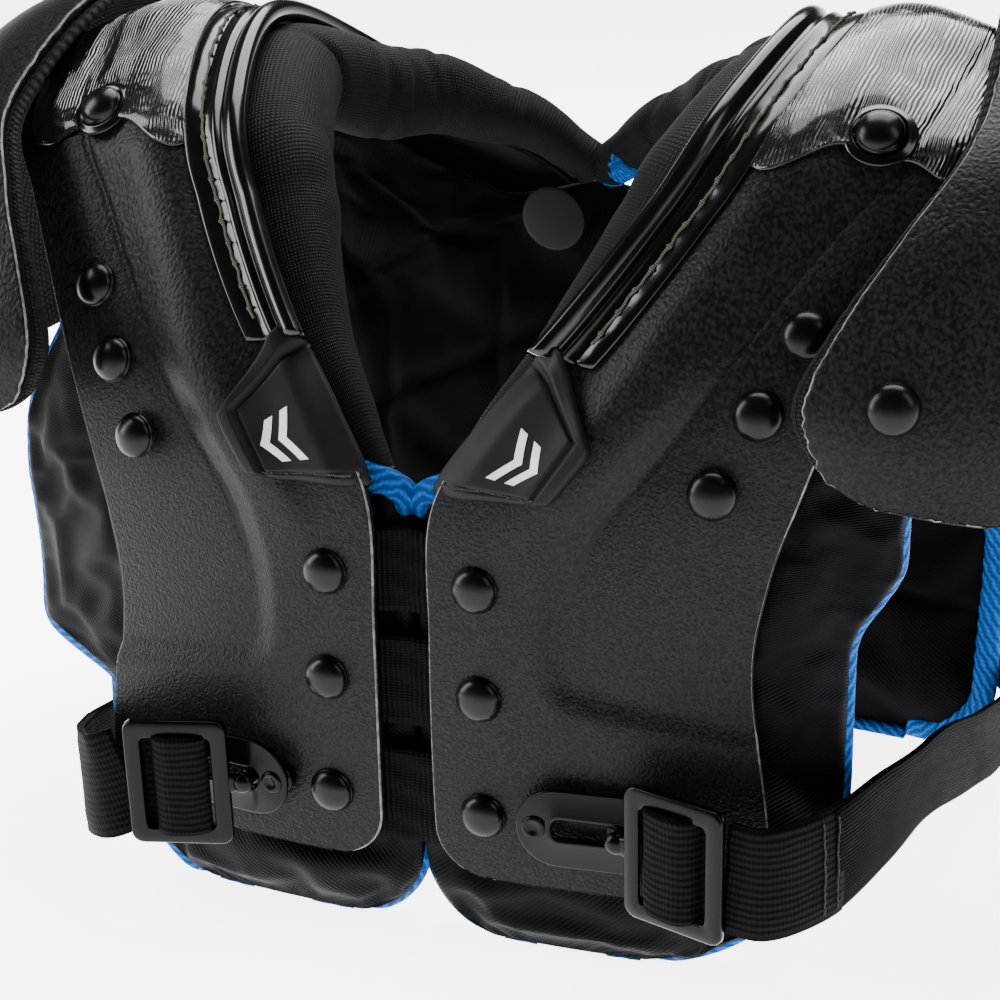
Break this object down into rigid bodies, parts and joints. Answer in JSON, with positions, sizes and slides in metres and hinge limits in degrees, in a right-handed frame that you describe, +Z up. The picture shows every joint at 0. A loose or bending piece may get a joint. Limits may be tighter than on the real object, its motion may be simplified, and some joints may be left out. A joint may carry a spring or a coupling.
{
  "type": "shoulder pads",
  "caption": "Youth contact-sport shoulder pads: two grained plastic arches over quilted pads, hinged shoulder flaps and caps, a padded collar roll, and a belt hooked into slotted keepers.",
  "frame": {"origin": "centre of the bounding box in plan, on the plane that the pads' lower edges stand on", "axes": "+X towards the wearer's left, +Y towards the wearer's back, +Z up"},
  "size_m": [0.4006, 0.227, 0.2556],
  "materials": {
    "shell_plastic": "leather-grained satin",
    "inner_plastic": "satin",
    "ribbed_vinyl": "fine ribbed gloss",
    "piping_vinyl": "gloss",
    "tab_rubber": "satin moulded",
    "pad_nylon": "twill weave",
    "collar_fabric": "plain weave",
    "flap_fabric": "coarse weave",
    "blue_binding": "herringbone tape",
    "elastic_webbing": "ribbed elastic",
    "knit_strap": "smooth knit",
    "black_steel": "gloss black enamel",
    "rivet_black": "satin black"
  },
  "bodies": {
    "right_half": {"right_arch": "shell_plastic", "right_cantilever": "inner_plastic", "right_hinge_band": "ribbed_vinyl", "right_neck_bead": "piping_vinyl", "right_neck_tab": "tab_rubber", "right_collar_roll": "collar_fabric", "right_chest_pad": "pad_nylon", "right_back_pad": "pad_nylon", "right_chest_binding": "blue_binding", "right_back_binding": "blue_binding", "right_front_keeper": "black_steel", "right_rear_keeper": "black_steel", "right_belt_strap": "knit_strap", "right_chest_rivet_1": "rivet_black", "right_chest_rivet_2": "rivet_black", "right_chest_rivet_3": "rivet_black", "right_side_rivet_1": "rivet_black", "right_side_rivet_2": "rivet_black", "right_side_rivet_3": "rivet_black", "right_band_rivet": "rivet_black", "chest_strap_1": "elastic_webbing", "chest_strap_2": "elastic_webbing", "chest_strap_3": "elastic_webbing", "back_strap_1": "elastic_webbing", "back_strap_2": "elastic_webbing", "back_strap_3": "elastic_webbing"},
    "left_half": {"left_arch": "shell_plastic", "left_cantilever": "inner_plastic", "left_hinge_band": "ribbed_vinyl", "left_neck_bead": "piping_vinyl", "left_neck_tab": "tab_rubber", "left_collar_roll": "collar_fabric", "left_chest_pad": "pad_nylon", "left_back_pad": "pad_nylon", "left_chest_binding": "blue_binding", "left_back_binding": "blue_binding", "left_front_keeper": "black_steel", "left_rear_keeper": "black_steel", "left_belt_strap": "knit_strap", "left_chest_rivet_1": "rivet_black", "left_chest_rivet_2": "rivet_black", "left_chest_rivet_3": "rivet_black", "left_side_rivet_1": "rivet_black", "left_side_rivet_2": "rivet_black", "left_side_rivet_3": "rivet_black", "left_band_rivet": "rivet_black"},
    "right_flap": {"right_epaulette": "shell_plastic", "right_epaulette_lining": "flap_fabric", "right_epaulette_rivet": "rivet_black"},
    "right_cap": {"right_shoulder_cap": "shell_plastic", "right_cap_lining": "flap_fabric"},
    "right_hook": {"right_buckle": "black_steel", "right_belt_webbing": "elastic_webbing"},
    "left_flap": {"left_epaulette": "shell_plastic", "left_epaulette_lining": "flap_fabric", "left_epaulette_rivet": "rivet_black"},
    "left_cap": {"left_shoulder_cap": "shell_plastic", "left_cap_lining": "flap_fabric"},
    "left_hook": {"left_buckle": "black_steel", "left_belt_webbing": "elastic_webbing"}
  },
  "joints": [
    {"name": "halves_spread", "type": "hinge", "parent": "right_half", "child": "left_half", "pos_m": [0, 0.092, 0], "axis": [0, 0, 1], "range_deg": [0, 8], "stiffness_Nm_per_rad": 4, "deforming": ["chest_strap_1", "chest_strap_2", "chest_strap_3", "back_strap_1", "back_strap_2", "back_strap_3"]},
    {"name": "right_cap_lift", "type": "hinge", "parent": "right_half", "child": "right_cap", "pos_m": [-0.149, 0.0115, 0.236], "axis": [0, 1, 0], "range_deg": [0, 50]},
    {"name": "right_flap_lift", "type": "hinge", "parent": "right_half", "child": "right_flap", "pos_m": [-0.133, 0.0115, 0.252], "axis": [0, 1, 0], "range_deg": [0, 60]},
    {"name": "left_cap_lift", "type": "hinge", "parent": "left_half", "child": "left_cap", "pos_m": [0.149, 0.0115, 0.236], "axis": [0, -1, 0], "range_deg": [0, 50]},
    {"name": "left_flap_lift", "type": "hinge", "parent": "left_half", "child": "left_flap", "pos_m": [0.133, 0.0115, 0.252], "axis": [0, -1, 0], "range_deg": [0, 60]},
    {"name": "left_hook_slide", "type": "slide", "parent": "left_half", "child": "left_hook", "axis": [0.9945, 0.1052, 0], "range_m": [-0.016, 0], "deforming": ["left_belt_strap"]},
    {"name": "right_hook_slide", "type": "slide", "parent": "right_half", "child": "right_hook", "axis": [-0.9945, 0.1052, 0], "range_m": [0, 0.016], "deforming": ["right_belt_strap"]}
  ],
  "couplings": [
    {"joint": "right_flap_lift", "follows": "right_cap_lift", "ratio": 1.2},
    {"joint": "left_flap_lift", "follows": "left_cap_lift", "ratio": 1.2}
  ]
}
